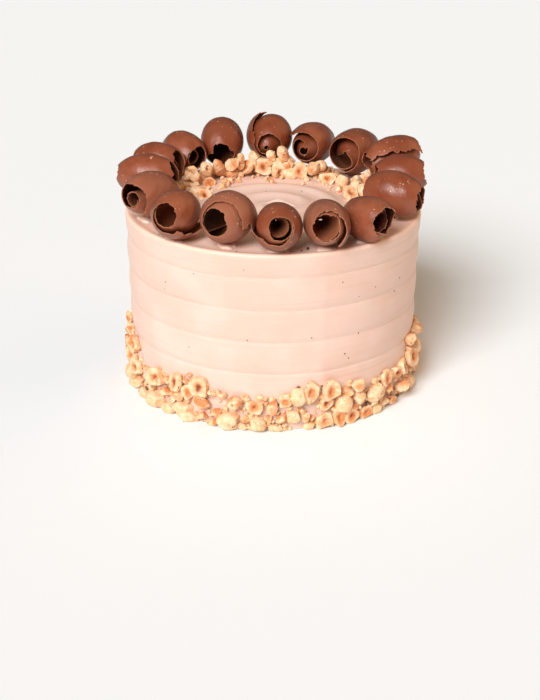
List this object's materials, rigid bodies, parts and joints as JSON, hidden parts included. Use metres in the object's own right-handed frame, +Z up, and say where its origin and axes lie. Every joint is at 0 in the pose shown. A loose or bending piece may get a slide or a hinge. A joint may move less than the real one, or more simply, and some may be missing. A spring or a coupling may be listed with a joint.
{
  "type": "chocolate hazelnut cake",
  "caption": "Tall round layer cake under smooth chocolate buttercream with combed bands, topped with rolled chocolate curls and chopped hazelnuts.",
  "frame": {"origin": "middle of the flat underside of the cake, where it rests", "axes": "+Z up along the cake's axis, -Y towards the front, +X to the right seen from the front"},
  "size_m": [0.1747, 0.1795, 0.1308],
  "materials": {
    "iced_cake": "smooth spread buttercream, soft satin, with pale chopped hazelnuts pressed in",
    "chocolate": "milk chocolate, waxy satin gloss, paler broken edges"
  },
  "bodies": {
    "root": {"iced_cake": "iced_cake", "chocolate_curl_01": "chocolate", "chocolate_curl_02": "chocolate", "chocolate_curl_03": "chocolate", "chocolate_curl_04": "chocolate", "chocolate_curl_05": "chocolate", "chocolate_curl_06": "chocolate", "chocolate_curl_07": "chocolate", "chocolate_curl_08": "chocolate", "chocolate_curl_09": "chocolate", "chocolate_curl_10": "chocolate", "chocolate_curl_11": "chocolate", "chocolate_curl_12": "chocolate", "chocolate_curl_13": "chocolate", "chocolate_curl_14": "chocolate", "chocolate_curl_15": "chocolate", "chocolate_curl_16": "chocolate"}
  },
  "joints": []
}
